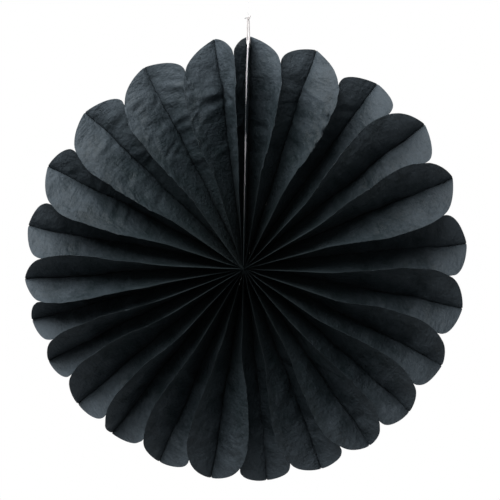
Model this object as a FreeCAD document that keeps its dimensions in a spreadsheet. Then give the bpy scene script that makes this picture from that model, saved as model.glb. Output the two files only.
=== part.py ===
"""Round paper fan, opened into a flower and hung by a cord.

The fan is a stack of die-cut tissue leaves.  Neighbouring leaves are glued face to face along
a narrow margin, in turn at the front edge and at the back edge, so the opened stack is a ring
of pleats.  The two ends of the stack are stiff cards; they meet at the top of the ring.

Frame: millimetres, +Z up, the fan faces -Y.  The origin is the top of the hanging eye.
Each leaf is laid out by two measures of the flat leaf: the radius from the hub, and the
distance across it from its front edge.
"""
import FreeCAD, Part
import math
import os
import Sketcher

Vector = FreeCAD.Vector

# Driving dimensions: alias, value in millimetres or degrees, meaning.
DIMENSIONS = [
    ("fan_radius", 200.0, "hub axis to the furthest point of a leaf"),
    ("leaf_width", 54.0, "front edge to back edge of a leaf"),
    ("glue_margin", 9.0, "strip where two leaves are glued together"),
    ("tip_round", 45.0, "round of the leaf end towards the front"),
    ("back_round", 14.0, "round of the leaf end at the back corner"),
    ("hub_gap", 2.6, "hub axis to the inner end of a leaf"),
    ("hub_even", 16.0, "radius inside which the openings even out"),
    ("leaf_thick", 0.2, "thickness of a tissue leaf"),
    ("glue_film", 0.05, "film of glue between two leaves"),
    ("flat_depth", 9.0, "least depth of a pleat that is pulled nearly flat"),
    ("lean_start", 70.0, "radius where the glued margins begin to lean"),
    ("lean_full", 150.0, "radius where they have their full lean"),
    ("back_lean", 28.0, "largest lean of a back margin, degrees"),
    ("card_thick", 0.5, "thickness of an end card"),
    ("card_extra", 5.5, "end of a card beyond the fan's radius"),
    ("card_back", 8.0, "round of a card and its facing at the back corner"),
    ("card_setback", 7.0, "front edge of a card behind the leaves, at the hub"),
    ("card_taper", 140.0, "radius where a card reaches its full width"),
    ("facing_setback", 0.5, "front edge of a facing behind the leaves, at the hub"),
    ("bare_top", 10.0, "end of a card left bare by its facing"),
    ("tape_thick", 0.15, "double-sided tape between the cards"),
    ("tape_width", 12.0, "width of that tape"),
    ("tape_start", 15.0, "hub axis to the inner end of the tape"),
    ("tape_length", 150.0, "length of the tape"),
    ("thread_ring", 7.0, "radius of the binding thread round the hub axis"),
    ("thread_dia", 0.8, "diameter of the binding thread"),
    ("thread_play", 0.15, "room round the thread in its holes"),
    ("seam_lean", 1.0, "lean of the seam from upright, degrees"),
    ("punch_inset", 8.5, "end of a card to the middle of its punched hole"),
    ("punch_dia", 3.4, "diameter of the punched hole"),
    ("cord_dia", 1.1, "diameter of the loop's cotton cord"),
    ("cord_play", 0.3, "room between the cord and the card beside and above it"),
    ("loop_rise", 23.5, "punched hole to the knot of the loop"),
    ("loop_knot_dia", 3.2, "diameter of the loop's knot"),
    ("loop_knot_tall", 3.4, "height of the loop's knot"),
    ("line_dia", 0.4, "diameter of the clear hanging line"),
    ("line_run", 20.0, "loop knot to eye knot"),
    ("eye_knot_dia", 1.8, "diameter of the eye's knot"),
    ("eye_knot_tall", 1.6, "height of the eye's knot"),
    ("eye_width", 7.0, "width of the hanging eye"),
    ("eye_rise", 11.0, "middle of the eye's knot to the top of the eye"),
]

# Opening of each leaf in degrees, from the seam, counter-clockwise as seen from the front.
# The fan is opened by hand, so its pleats are uneven.  Together they make a full turn.
LEAF_OPENINGS = [
    3.5, 5.0, 9.0, 10.0, 9.5, 10.0, 9.5, 8.0, 8.5, 8.0, 7.5, 6.5,
    6.0, 5.0, 6.0, 5.0, 6.0, 8.0, 7.0, 5.0, 7.5, 7.0, 7.5, 7.0,
    8.0, 7.0, 7.0, 7.5, 7.5, 6.5, 7.0, 7.0, 7.5, 7.0, 8.5, 7.5,
    9.0, 8.0, 9.0, 8.0, 7.5, 8.0, 8.5, 7.5, 8.5, 9.0, 8.0, 9.0,
]

# Lean of each glued front margin at the rim, in degrees; positive leans counter-clockwise.
FRONT_LEANS = [
    -20.0, 55.0, 60.0, 55.0, 50.0, -35.0, 20.0, -40.0, -45.0, -45.0, -40.0, -45.0,
    55.0, -45.0, -50.0, 45.0, 50.0, 55.0, 45.0, -40.0, 55.0, 60.0, -55.0, -25.0,
]

# How far the leaves reach beyond the fan's radius at each fold, in mm, between the cards.
# Ridges and creases in turn, counter-clockwise: the leaves' ends are as uneven as the pleats.
FOLD_REACHES = [
    4.5, 4.8, -1.0, -1.0, -3.0, -1.3, -2.0, -1.0, -1.5, 0.0, -1.0, 1.5,
    0.0, 2.0, 1.0, 1.5, 0.5, 0.8, 0.5, -0.5, -1.5, -1.0, -0.5, 0.0,
    0.0, 0.5, 0.0, 0.5, 0.5, 1.5, 1.5, 1.5, 1.5, 1.0, 0.0, 0.5,
    0.5, 0.7, 0.5, 2.8, 3.0, 5.0, 4.5, 1.5, 0.0, 3.2, 1.5,
]

# Places along a leaf, as shares of its length, where its surface is laid out: close together
# at the hub, where it turns most.
LENGTH_SHARES = [
    0.0, 0.015, 0.04, 0.075, 0.13, 0.21, 0.3, 0.4, 0.5, 0.6, 0.7, 0.79, 0.87, 0.94, 1.0,
]

doc = FreeCAD.newDocument("paper_fan")
sheet = doc.addObject("Spreadsheet::Sheet", "Sizes")
for row, (alias, value, meaning) in enumerate(DIMENSIONS, start=1):
    sheet.set("A%d" % row, meaning)
    sheet.set("B%d" % row, str(value))
    sheet.setAlias("B%d" % row, alias)
doc.recompute()


def size(alias):
    """Value of a driving dimension, read from the sheet."""
    return float(sheet.get(alias))


# Sizes that follow from the driving ones.
middle = size("leaf_width") - 2 * size("glue_margin")
half_width = size("leaf_width") / 2
sheet_pitch = size("leaf_thick") + size("glue_film")
seam_half = size("tape_thick") / 2 + size("card_thick") + sheet_pitch + size("glue_film") / 2
seam_angle = math.radians(size("seam_lean"))
fold_reaches = [size("card_extra")] + FOLD_REACHES + [size("card_extra")]
card_end = size("fan_radius") + size("card_extra")
punch_radius = card_end - size("punch_inset")
punch_height = size("eye_rise") + size("line_run") + size("loop_rise")
hub = Vector(
    -punch_radius * math.sin(seam_angle),
    0,
    -punch_height - punch_radius * math.cos(seam_angle),
)
fan_place = FreeCAD.Placement(hub, FreeCAD.Rotation(Vector(0, 1, 0), size("seam_lean")))

subparts = []


def keep(piece, name, place):
    """Name a finished sub-part, place it and list it for export."""
    piece.Label = name
    piece.Placement = place
    subparts.append(piece)


def bind(piece, **formulas):
    """Tie properties of a document object to the sheet."""
    for prop, formula in formulas.items():
        piece.setExpression(prop, formula)


# ---------------------------------------------------------------- tissue leaves


def smooth(x):
    """Smooth step from 0 to 1."""
    x = min(1.0, max(0.0, x))
    return x * x * (3 - 2 * x)


def ring_angle(opening, radius):
    """Place of an opening angle on the ring, once the seam has taken its thickness."""
    return opening + seam_half / radius * (1 - opening / math.pi)


def leaf_end(across):
    """Radius of the die-cut end of a leaf, at a distance across it."""
    tip, back = size("tip_round"), size("back_round")
    front_gap = max(0.0, tip - across)
    back_gap = max(0.0, across - (size("leaf_width") - back))
    front_loss = tip - math.sqrt(tip ** 2 - front_gap ** 2)
    back_loss = back - math.sqrt(max(0.0, back ** 2 - back_gap ** 2))
    return size("fan_radius") - front_loss - back_loss


def stations_across():
    """Distances across a leaf: close at both rounds and at both folds."""
    margin, width = size("glue_margin"), size("leaf_width")
    front = [margin * (1 - math.cos(math.radians(a))) for a in (0, 17, 34, 51, 69)]
    fold = [margin + step for step in (0, 1, 2, 3.5)]
    body = [margin + middle * part for part in (0.18, 0.27, 0.37, 0.5, 0.63, 0.73, 0.82)]
    back = [width - distance for distance in reversed(front + fold)]
    return front + fold + body + back


def pleat_depth(radius, opening):
    """Depth between the two glue lines of a pleat that opens by this angle a leaf."""
    reach = 0.97 * middle
    spread = radius * opening
    return math.sqrt(max(reach ** 2 - spread ** 2, size("flat_depth") ** 2))


class Fold:
    """A glue line that two leaves share: a ridge at the front or a crease at the back."""

    def __init__(self, number, opening, spread, lean, front):
        self.even = 2 * math.pi * number / len(LEAF_OPENINGS)
        self.opening = opening
        self.reach = fold_reaches[number]
        self.spread = spread
        self.lean = lean
        self.front = front

    def angle(self, radius):
        """Place on the ring; at the hub the leaves lie evenly packed."""
        uneven = smooth((radius - size("hub_gap")) / (size("hub_even") - size("hub_gap")))
        return ring_angle(self.even + (self.opening - self.even) * uneven, radius)

    def depth(self, radius):
        """Y of the glue line."""
        if self.spread is None:
            return half_width - size("glue_margin")
        half = pleat_depth(radius, self.spread) / 2
        return -half if self.front else half

    def heading(self, radius):
        """Direction of the glued margin from front to back, as (round the ring, back)."""
        start, full = size("lean_start"), size("lean_full")
        lean = math.radians(self.lean) * smooth((radius - start) / (full - start))
        return Vector(-math.sin(lean), math.cos(lean), 0)


def make_folds():
    """All ridges, and all creases with the seam as the first and the last of them."""
    openings = [math.radians(value) for value in LEAF_OPENINGS]
    edges = [sum(openings[:count]) for count in range(len(openings) + 1)]
    ridges = []
    creases = [Fold(0, 0.0, None, 0.0, False)]
    for number in range(1, len(openings)):
        spread = (openings[number - 1] + openings[number]) / 2
        if number % 2:
            ridges.append(Fold(number, edges[number], spread, FRONT_LEANS[number // 2], True))
        else:
            lean = size("back_lean") * math.sin(2.1 * number)
            creases.append(Fold(number, edges[number], spread, lean, False))
    creases.append(Fold(len(openings), 2 * math.pi, None, 0.0, False))
    return ridges, creases


def fold_ease(heading, chord):
    """How far a leaf runs on straight past its margin: less where it has to turn back sharply."""
    return middle * (0.05 + 0.095 * (1 + heading.dot(chord)))


def leaf_section(ridge, crease, side, radius, across):
    """Point and heading of a leaf's middle surface in the unrolled section at a radius.

    side is +1 for the leaf that leaves its ridge counter-clockwise, -1 for the other one.
    """
    margin = size("glue_margin")
    offset = side * sheet_pitch / 2
    ahead = ridge.heading(radius)
    behind = crease.heading(radius)
    swing = radius * (crease.angle(radius) - ridge.angle(radius))
    start = Vector(ahead.y, -ahead.x, 0) * offset + Vector(0, ridge.depth(radius), 0)
    finish = Vector(swing, crease.depth(radius), 0) - Vector(behind.y, -behind.x, 0) * offset
    if across <= margin:
        return start - ahead * (margin - across), ahead
    if across >= margin + middle:
        return finish + behind * (across - margin - middle), behind
    chord = (finish - start).normalize()
    near = start + ahead * fold_ease(ahead, chord)
    far = finish - behind * fold_ease(behind, chord)
    u = (across - margin) / middle
    v = 1 - u
    point = start * v ** 3 + near * (3 * v * v * u) + far * (3 * v * u * u) + finish * u ** 3
    heading = (near - start) * (v * v) + (far - near) * (2 * v * u) + (finish - far) * (u * u)
    return point, heading.normalize()


def leaf_face_points(ridge, crease, side, shift):
    """Grid of points on one face of a leaf, shifted from its middle surface."""
    grid = []
    inner = size("hub_gap")
    for across in stations_across():
        line = []
        inward = smooth((across - size("glue_margin")) / middle)
        end = leaf_end(across) + ridge.reach * (1 - inward) + crease.reach * inward
        for share in LENGTH_SHARES:
            radius = inner + share * (end - inner)
            point, heading = leaf_section(ridge, crease, side, radius, across)
            point = point + Vector(heading.y, -heading.x, 0) * shift
            angle = ridge.angle(radius) + point.x / radius
            line.append(Vector(-radius * math.sin(angle), point.y, radius * math.cos(angle)))
        grid.append(line)
    return grid


def surface_through(grid):
    surface = Part.BSplineSurface()
    surface.interpolate(grid)
    return surface


def border_curves(surface):
    """The four border curves of a surface, in a fixed order."""
    u_low, u_high, v_low, v_high = surface.bounds()
    return [surface.uIso(u_low), surface.uIso(u_high), surface.vIso(v_low), surface.vIso(v_high)]


def border_face(first, second):
    """The narrow face between the matching border curves of a leaf's two faces."""
    strip = Part.BSplineSurface()
    strip.buildFromNSections([first, second])
    return strip.toShape()


def make_leaf(name, ridge, crease, side, thread_hole):
    """A tissue leaf: two faces a thickness apart, closed by narrow faces round the border."""
    half = size("leaf_thick") / 2
    low = surface_through(leaf_face_points(ridge, crease, side, -half))
    high = surface_through(leaf_face_points(ridge, crease, side, half))
    faces = [low.toShape(), high.toShape()]
    for first, second in zip(border_curves(low), border_curves(high)):
        faces.append(border_face(first, second))
    skin = Part.Compound(faces)
    skin.sewShape(0.001)
    solid = Part.Solid(Part.Shell(skin.Faces))
    if solid.Volume < 0:
        solid.reverse()
    leaf = doc.addObject("Part::Feature", name)
    leaf.Shape = solid.cut(thread_hole).Solids[0]
    keep(leaf, name, fan_place)


def make_leaves():
    ridges, creases = make_folds()
    hole_radius = size("thread_dia") / 2 + size("thread_play")
    thread_hole = Part.makeTorus(size("thread_ring"), hole_radius, Vector(0, 0, 0), Vector(0, 1, 0))
    for number in range(1, len(LEAF_OPENINGS) + 1):
        ridge = ridges[(number - 1) // 2]
        crease = creases[number // 2]
        side = -1 if number % 2 else 1
        make_leaf("leaf_%02d" % number, ridge, crease, side, thread_hole)


# ---------------------------------------------------------------- end cards and facings


def add_line(sketch, start, finish):
    return sketch.addGeometry(Part.LineSegment(start, finish), False)


def add_arc(sketch, centre, radius, start, finish):
    circle = Part.Circle(centre, Vector(0, 0, 1), radius)
    return sketch.addGeometry(Part.ArcOfCircle(circle, start, finish), False)


def constrain(sketch, name, formula, *definition):
    """Add a dimension to a sketch and tie it to the sheet."""
    index = sketch.addConstraint(Sketcher.Constraint(*definition))
    sketch.renameConstraint(index, name)
    sketch.setExpression("Constraints." + name, formula)


def add_hole(sketch, name, radius, height_formula, dia_formula):
    """A round hole on the middle line of the sheet, at a height above the hub axis."""
    hole = sketch.addGeometry(Part.Circle(Vector(0, radius, 0), Vector(0, 0, 1), 1.0), False)
    sketch.addConstraint(Sketcher.Constraint("PointOnObject", hole, 3, -2))
    constrain(sketch, name + "_height", height_formula, "DistanceY", -1, 1, hole, 3, radius)
    constrain(sketch, name + "_dia", dia_formula, "Diameter", hole, 2.0)


def outline_sketch(body, name, setback_alias):
    """Die-cut outline of a flat sheet: Y across it, Z along the radius."""
    plane = [item for item in body.Origin.OriginFeatures if item.Role == "YZ_Plane"][0]
    sketch = body.newObject("Sketcher::SketchObject", name)
    sketch.AttachmentSupport = [(plane, "")]
    sketch.MapMode = "FlatFace"
    radius, inner = card_end, size("hub_gap")
    tip, back, taper = size("tip_round"), size("card_back"), size("card_taper")
    setback = size(setback_alias)
    hub_corner = Vector(-half_width + setback, inner, 0)
    full_width = Vector(-half_width, taper, 0)
    shoulder = Vector(-half_width, radius - tip, 0)
    end_front = Vector(-half_width + tip, radius, 0)
    end_back = Vector(half_width - back, radius, 0)
    back_top = Vector(half_width, radius - back, 0)
    back_hub = Vector(half_width, inner, 0)
    setback_line = add_line(sketch, hub_corner, full_width)
    front_line = add_line(sketch, full_width, shoulder)
    tip_arc = add_arc(sketch, Vector(end_front.x, shoulder.y, 0), tip, math.pi / 2, math.pi)
    end_line = add_line(sketch, end_front, end_back)
    back_arc = add_arc(sketch, Vector(end_back.x, back_top.y, 0), back, 0, math.pi / 2)
    back_line = add_line(sketch, back_top, back_hub)
    hub_line = add_line(sketch, back_hub, hub_corner)
    for first, end, second, start in (
        (setback_line, 2, front_line, 1),
        (back_line, 2, hub_line, 1),
        (hub_line, 2, setback_line, 1),
    ):
        sketch.addConstraint(Sketcher.Constraint("Coincident", first, end, second, start))
    for line, line_end, arc, arc_end in (
        (front_line, 2, tip_arc, 2),
        (end_line, 1, tip_arc, 1),
        (end_line, 2, back_arc, 2),
        (back_line, 1, back_arc, 1),
    ):
        sketch.addConstraint(Sketcher.Constraint("Tangent", line, line_end, arc, arc_end))
    for line in (front_line, back_line):
        sketch.addConstraint(Sketcher.Constraint("Vertical", line))
    for line in (end_line, hub_line):
        sketch.addConstraint(Sketcher.Constraint("Horizontal", line))
    half = "Sizes.leaf_width / 2"
    constrain(sketch, "front_half", half, "DistanceX", front_line, 1, -1, 1, half_width)
    constrain(sketch, "back_half", half, "DistanceX", -1, 1, back_line, 2, half_width)
    constrain(sketch, "inner_end", "Sizes.hub_gap", "DistanceY", -1, 1, hub_line, 1, inner)
    end_formula = "Sizes.fan_radius + Sizes.card_extra"
    constrain(sketch, "outer_end", end_formula, "DistanceY", -1, 1, end_line, 1, radius)
    constrain(sketch, "taper_end", "Sizes.card_taper", "DistanceY", -1, 1, front_line, 1, taper)
    constrain(sketch, "tip_radius", "Sizes.tip_round", "Radius", tip_arc, tip)
    constrain(sketch, "back_radius", "Sizes.card_back", "Radius", back_arc, back)
    setback_ends = (front_line, 1, setback_line, 1)
    constrain(sketch, "setback", "Sizes." + setback_alias, "DistanceX", *setback_ends, setback)
    thread_hole = "Sizes.thread_dia + 2 * Sizes.thread_play"
    add_hole(sketch, "thread", size("thread_ring"), "Sizes.thread_ring", thread_hole)
    return sketch


def start_body(name):
    body = doc.addObject("PartDesign::Body", name)
    doc.recompute()
    return body


def make_card(name, near_face):
    """A stiff end card, padded towards +X from its near face, with its punched hole."""
    body = start_body(name)
    sketch = outline_sketch(body, name + "_outline", "card_setback")
    punch_formula = "Sizes.fan_radius + Sizes.card_extra - Sizes.punch_inset"
    add_hole(sketch, "punch", punch_radius, punch_formula, "Sizes.punch_dia")
    pad = body.newObject("PartDesign::Pad", name + "_pad")
    pad.Profile = sketch
    bind(pad, Length="Sizes.card_thick")
    doc.recompute()
    keep(body, name, fan_place * FreeCAD.Placement(Vector(near_face, 0, 0), FreeCAD.Rotation()))


def make_facing(name, near_face):
    """The tissue sheet glued flat over a card; the card's outer end stays bare."""
    body = start_body(name)
    sketch = outline_sketch(body, name + "_outline", "facing_setback")
    pad = body.newObject("PartDesign::Pad", name + "_pad")
    pad.Profile = sketch
    bind(pad, Length="Sizes.leaf_thick")
    doc.recompute()
    plane = [item for item in body.Origin.OriginFeatures if item.Role == "YZ_Plane"][0]
    trim = body.newObject("Sketcher::SketchObject", name + "_trim")
    trim.AttachmentSupport = [(plane, "")]
    trim.MapMode = "FlatFace"
    low = card_end - size("bare_top")
    reach = size("leaf_width")
    corners = [Vector(-reach, low, 0), Vector(reach, low, 0)]
    corners += [Vector(reach, low + reach, 0), Vector(-reach, low + reach, 0)]
    for index, corner in enumerate(corners):
        add_line(trim, corner, corners[(index + 1) % 4])
    for index in range(4):
        ends = (index, 2, (index + 1) % 4, 1)
        trim.addConstraint(Sketcher.Constraint("Coincident", *ends))
        trim.addConstraint(Sketcher.Constraint("Vertical" if index % 2 else "Horizontal", index))
    low_formula = "Sizes.fan_radius + Sizes.card_extra - Sizes.bare_top"
    constrain(trim, "trim_height", low_formula, "DistanceY", -1, 1, 0, 1, low)
    constrain(trim, "trim_left", "Sizes.leaf_width", "DistanceX", 0, 1, -1, 1, reach)
    constrain(trim, "trim_right", "Sizes.leaf_width", "DistanceX", -1, 1, 0, 2, reach)
    constrain(trim, "trim_tall", "Sizes.leaf_width", "DistanceY", 1, 1, 1, 2, reach)
    pocket = body.newObject("PartDesign::Pocket", name + "_cut")
    pocket.Profile = trim
    pocket.Type = "ThroughAll"
    pocket.Midplane = True
    doc.recompute()
    keep(body, name, fan_place * FreeCAD.Placement(Vector(near_face, 0, 0), FreeCAD.Rotation()))


def make_seam():
    """Two cards face to face on the tape, each with its facing outside."""
    card, facing = size("card_thick"), size("leaf_thick")
    inner = size("tape_thick") / 2
    outer = inner + card + size("glue_film")
    make_card("end_card_left", -inner - card)
    make_card("end_card_right", inner)
    make_facing("facing_left", -outer - facing)
    make_facing("facing_right", outer)
    tape = doc.addObject("Part::Box", "joining_tape")
    bind(tape, Length="Sizes.tape_thick", Width="Sizes.tape_width", Height="Sizes.tape_length")
    doc.recompute()
    corner = Vector(-inner, -size("tape_width") / 2, size("tape_start"))
    keep(tape, "joining_tape", fan_place * FreeCAD.Placement(corner, FreeCAD.Rotation()))


def make_thread():
    """The binding thread, a ring through a hole in every leaf, facing and card."""
    thread = doc.addObject("Part::Torus", "centre_thread")
    bind(thread, Radius1="Sizes.thread_ring", Radius2="Sizes.thread_dia / 2")
    upright = FreeCAD.Placement(Vector(0, 0, 0), FreeCAD.Rotation(Vector(1, 0, 0), 90))
    keep(thread, "centre_thread", fan_place * upright)


# ---------------------------------------------------------------- cord, line and knots


def cord_path(name, points):
    """Straight runs joined by tangent arcs, each arc as large as its two runs allow."""
    edges = []
    here = points[0]
    for before, corner, after in zip(points, points[1:], points[2:]):
        inward = (before - corner).normalize()
        outward = (after - corner).normalize()
        half_turn = (math.pi - inward.getAngle(outward)) / 2
        reach = 0.45 * min((before - corner).Length, (after - corner).Length)
        radius = reach / math.tan(half_turn)
        print("%s: turn %.0f deg, radius %.2f mm" % (name, math.degrees(2 * half_turn), radius))
        start = corner + inward * reach
        finish = corner + outward * reach
        bisector = (inward + outward).normalize()
        middle_point = corner + bisector * (radius / math.cos(half_turn) - radius)
        edges.append(Part.LineSegment(here, start).toShape())
        edges.append(Part.Arc(start, middle_point, finish).toShape())
        here = finish
    edges.append(Part.LineSegment(here, points[-1]).toShape())
    path = doc.addObject("Part::Feature", name + "_path")
    path.Shape = Part.Wire(edges)
    return path


def make_tube(name, points, dia_alias):
    """A round cord along a path, with its volume compared with section times length."""
    path = cord_path(name, points)
    ring = doc.addObject("Part::Circle", name + "_section")
    bind(ring, Radius="Sizes.%s / 2" % dia_alias)
    first_run = (points[1] - points[0]).normalize()
    ring.Placement = FreeCAD.Placement(points[0], FreeCAD.Rotation(Vector(0, 0, 1), first_run))
    tube = doc.addObject("Part::Sweep", name)
    tube.Sections = [ring]
    tube.Spine = (path, ["Edge%d" % (index + 1) for index in range(len(path.Shape.Edges))])
    tube.Solid = True
    doc.recompute()
    expected = math.pi * (size(dia_alias) / 2) ** 2 * path.Shape.Length
    print("%s: volume %.3f, section times length %.3f" % (name, tube.Shape.Volume, expected))
    keep(tube, name, FreeCAD.Placement())


def make_knot(name, dia_alias, tall_alias, height):
    """A knot as a barrel with flat ends, where the cords enter."""
    knot = doc.addObject("Part::Ellipsoid", name)
    cut = math.radians(45)
    bind(
        knot,
        Radius1="Sizes.%s / 2 / %.6f" % (tall_alias, math.sin(cut)),
        Radius2="Sizes.%s / 2" % dia_alias,
        Radius3="Sizes.%s / 2" % dia_alias,
    )
    knot.Angle1 = -45
    knot.Angle2 = 45
    keep(knot, name, FreeCAD.Placement(Vector(0, 0, height), FreeCAD.Rotation()))


def make_hanging():
    """Cotton loop that carries the cards at the top of their holes, and the clear line above."""
    eye_knot_z = -size("eye_rise")
    loop_knot_z = eye_knot_z - size("line_run")
    cord = size("cord_dia")
    strand = size("tape_thick") / 2 + size("card_thick") + size("cord_play") + cord / 2
    low = -punch_height + size("punch_dia") / 2 - size("cord_play") - cord / 2
    knot_face = loop_knot_z - size("loop_knot_tall") / 2
    loop_points = [
        Vector(-cord * 0.55, 0, knot_face),
        Vector(-strand, 0, -punch_height + size("punch_dia") * 1.6),
        Vector(-strand * 0.98, 0, low),
        Vector(strand * 0.98, 0, low),
        Vector(strand, 0, -punch_height + size("punch_dia") * 1.6),
        Vector(cord * 0.55, 0, knot_face),
    ]
    make_tube("hanging_loop", loop_points, "cord_dia")
    make_knot("loop_knot", "loop_knot_dia", "loop_knot_tall", loop_knot_z)

    line_low = loop_knot_z + size("loop_knot_tall") / 2
    line_high = eye_knot_z - size("eye_knot_tall") / 2
    line = doc.addObject("Part::Cylinder", "hanging_line")
    knots = "(Sizes.loop_knot_tall + Sizes.eye_knot_tall) / 2"
    bind(line, Radius="Sizes.line_dia / 2", Height="Sizes.line_run - " + knots)
    keep(line, "hanging_line", FreeCAD.Placement(Vector(0, 0, line_low), FreeCAD.Rotation()))
    make_knot("eye_knot", "eye_knot_dia", "eye_knot_tall", eye_knot_z)

    half_eye = size("eye_width") / 2
    eye_low = eye_knot_z + size("eye_knot_tall") / 2
    top = -size("line_dia") / 2
    foot = size("line_dia") * 0.8
    side_points = [(foot, 0.0), (half_eye * 0.75, 0.38), (half_eye, 0.68), (half_eye * 0.55, 1.0)]
    rise = top - eye_low
    left = [Vector(-x, 0, eye_low + share * rise) for x, share in side_points]
    right = [Vector(x, 0, eye_low + share * rise) for x, share in reversed(side_points)]
    make_tube("hanging_eye", left + right, "line_dia")


def check_and_write():
    """Stop on anything that failed, then write one file for each sub-part."""
    doc.recompute()
    for item in doc.Objects:
        for state in item.State:
            if state in ("Invalid", "Error"):
                raise RuntimeError("%s did not build: %s" % (item.Label, item.State))
    for piece in subparts:
        if piece.Shape.isNull() or not piece.Shape.isValid():
            raise RuntimeError("%s has no valid shape" % piece.Label)
        if len(piece.Shape.Solids) != 1:
            raise RuntimeError("%s has %d solids" % (piece.Label, len(piece.Shape.Solids)))
    os.makedirs("parts", exist_ok=True)
    for piece in subparts:
        piece.Shape.exportStep(os.path.join("parts", piece.Label + ".step"))
    print("%d sub-parts written" % len(subparts))


if abs(sum(LEAF_OPENINGS) - 360) > 0.001:
    raise RuntimeError("the leaf openings must add up to a full turn")
if len(FOLD_REACHES) != len(LEAF_OPENINGS) - 1:
    raise RuntimeError("each fold between the cards needs its reach")

make_leaves()
make_seam()
make_thread()
make_hanging()
check_and_write()
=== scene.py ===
"""Looks of a black tissue-paper fan that hangs on a cotton cord.

Lengths are in metres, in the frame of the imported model, unless a comment says mm.  A leaf is
laid out by two measures of the flat leaf: the radius from the hub, and the distance across it
from its front edge.  Wrinkles of a glued margin belong to the fold, so that both of its leaves
share them.
"""
import math

import bpy
import numpy as np
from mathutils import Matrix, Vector


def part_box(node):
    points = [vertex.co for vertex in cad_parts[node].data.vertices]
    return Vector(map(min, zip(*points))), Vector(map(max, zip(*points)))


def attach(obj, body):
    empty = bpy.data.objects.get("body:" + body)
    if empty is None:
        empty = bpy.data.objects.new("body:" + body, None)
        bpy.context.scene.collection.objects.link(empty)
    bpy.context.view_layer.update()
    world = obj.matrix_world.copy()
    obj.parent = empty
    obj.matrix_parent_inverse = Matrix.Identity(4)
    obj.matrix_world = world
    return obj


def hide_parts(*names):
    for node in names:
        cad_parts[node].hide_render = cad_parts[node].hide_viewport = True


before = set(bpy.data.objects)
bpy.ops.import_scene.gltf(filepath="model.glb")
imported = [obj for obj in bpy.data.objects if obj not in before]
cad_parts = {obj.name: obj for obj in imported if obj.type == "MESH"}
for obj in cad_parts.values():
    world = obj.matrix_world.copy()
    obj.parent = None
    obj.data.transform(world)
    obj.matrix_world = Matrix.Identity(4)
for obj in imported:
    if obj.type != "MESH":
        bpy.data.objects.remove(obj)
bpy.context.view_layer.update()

# ---------------------------------------------------------------- sizes, as in the CAD model

FAN_RADIUS = 0.200
LEAF_WIDTH = 0.054
MARGIN = 0.009
MIDDLE = LEAF_WIDTH - 2 * MARGIN
TIP_ROUND = 0.045
BACK_ROUND = 0.014
# the leaves meet at the hub, and all petals open evenly within this radius of it
HUB_GAP = 0.0002
HUB_EVEN = 0.016
LEAF_THICK = 0.00005
SHEET_PITCH = 0.00007
# a pleat is pulled nearly straight, and never flatter than this
PLEAT_TAUT = 0.97
FLAT_DEPTH = 0.009
# glued margins stand square to the fan near the hub, and lean sideways further out: those at
# the back by up to this many degrees
LEAN_START = 0.070
LEAN_FULL = 0.150
BACK_LEAN = 28.0
# a fold wanders sideways and in depth, and is tucked in a little round the hub; each of these
# rises or fades from a radius on, over a distance
FOLD_SWAY, SWAY_RISE = 0.0008, (0.03, 0.08)
FOLD_BOB, BOB_RISE = 0.0007, (0.04, 0.10)
FOLD_TUCK, TUCK_FADE = 0.0025, (0.02, 0.06)

# Half the room that the two cards take at the seam, and the radius where it begins.
SEAM_HALF = 0.00085
SEAM_START = 0.0008
SEAM_LEAN = math.radians(1.0)
CARD_START = 0.0026
CARD_END = 0.2055
CARD_BACK_ROUND = 0.008
CARD_SETBACK = 0.007
CARD_TAPER = 0.140
CARD_FACE = 0.000575
# The facings' front strips curl in over the cards' front edges.
LIP_PROUD = 0.0014
LIP_LEAST_PROUD = 0.0002
LIP_FADE = 0.006
LIP_LEAST_CURL = 0.0010
LIP_LEAST_GAP = 0.00010
LIP_SWAY = 0.00004
# radius, and half the slit between the two facings there
LIP_GAPS = (
    (0.040, 0.00011),
    (0.055, 0.00044),
    (0.080, 0.00046),
    (0.098, 0.00056),
    (0.107, 0.00062),
    (0.116, 0.00056),
    (0.124, 0.00020),
    (0.143, 0.00022),
    (0.150, 0.00048),
    (0.160, 0.00060),
    (0.170, 0.00064),
)
BARE_TOP = 0.010
THREAD_RING = 0.007
THREAD_DIA = 0.0008
CORD_DIA = 0.0011
LINE_DIA = 0.0004
# the cord is pulled thinner in its knot
KNOT_STRAND = 0.00092
# length of one twist of each cord
CORD_LAY = 0.0034
KNOT_LAY = 0.0030
THREAD_LAY = 0.0022
# each knot's height in the row frame, and its width, height and depth
KNOT_HEIGHT = -0.0310
KNOT_SIZE = (0.0031, 0.0034, 0.0021)
EYE_KNOT_HEIGHT = -0.0110
EYE_KNOT_SIZE = (0.0018, 0.0016, 0.0011)
# a small dark bead on the end of the clear line's tail
BEAD_LOW = (-0.00275, -0.0009, -0.0313)
BEAD_HIGH = (-0.00270, -0.0009, -0.0300)
BEAD_RADIUS = 0.00042

# How a leaf is crumpled: the crumples rise from a radius on, die out beside the glued margins,
# and take up no more than a share of the room beside the leaf.
CRUMPLE_RISE = (0.04, 0.07)
FOLD_STIFF = 0.007
BILLOW = 0.0010
SWELL_SHARE = 0.42
# a glued margin's own wrinkles, and how far they run on into its leaves
WRINKLE_RISE = (0.045, 0.08)
WRINKLE_REACH = 0.012
# Every sheet takes its own part of the tissue's pattern: one step on for each leaf, and the
# facings well past them.
PATTERN_STEP = 0.3
PATTERN_FACINGS = 20

# The lamps, as name, place from the hub, width and height, and power, and the light that comes
# from all round.
LAMPS = (
    ("key", (-0.30, -0.42, 0.66), (0.8, 0.6), 13.2),
    ("back", (0.34, 0.60, 0.40), (0.9, 0.7), 5.0),
)
FILL_STRENGTH = 0.12
FLOOR_RADIUS = 2.6
FLOOR_DROP = 1.1

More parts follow.
